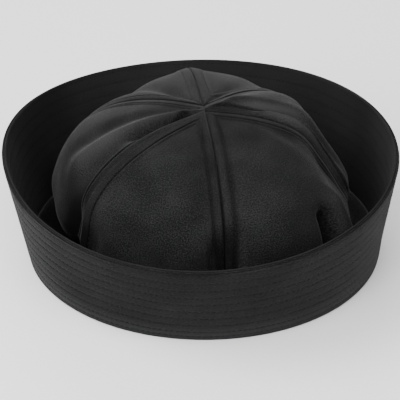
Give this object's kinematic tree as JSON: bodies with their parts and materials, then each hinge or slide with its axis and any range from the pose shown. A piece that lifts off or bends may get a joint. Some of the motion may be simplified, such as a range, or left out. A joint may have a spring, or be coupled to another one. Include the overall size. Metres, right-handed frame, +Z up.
{
  "type": "sailor cap",
  "caption": "Soft round cap with a gored dome crown and a deep stitched brim turned up all the way round, in dark cotton twill.",
  "frame": {"origin": "bottom centre of the whole cap's box, on the surface that it rests on", "axes": "+Z up through the crown, -Y towards the front seam, +X to the wearer's left when the front seam faces forward"},
  "size_m": [0.2174, 0.2488, 0.0886],
  "materials": {
    "brim_outer_twill": "matte black cotton twill with rows of stitching",
    "brim_inner_twill": "matte black cotton twill with rows of stitching",
    "crown_twill": "matte black cotton twill"
  },
  "bodies": {
    "root": {"brim_outer_ply": "brim_outer_twill", "brim_inner_ply": "brim_inner_twill", "crown_gore_front_right": "crown_twill", "crown_gore_right": "crown_twill", "crown_gore_back_right": "crown_twill", "crown_gore_back_left": "crown_twill", "crown_gore_left": "crown_twill", "crown_gore_front_left": "crown_twill"}
  },
  "joints": []
}
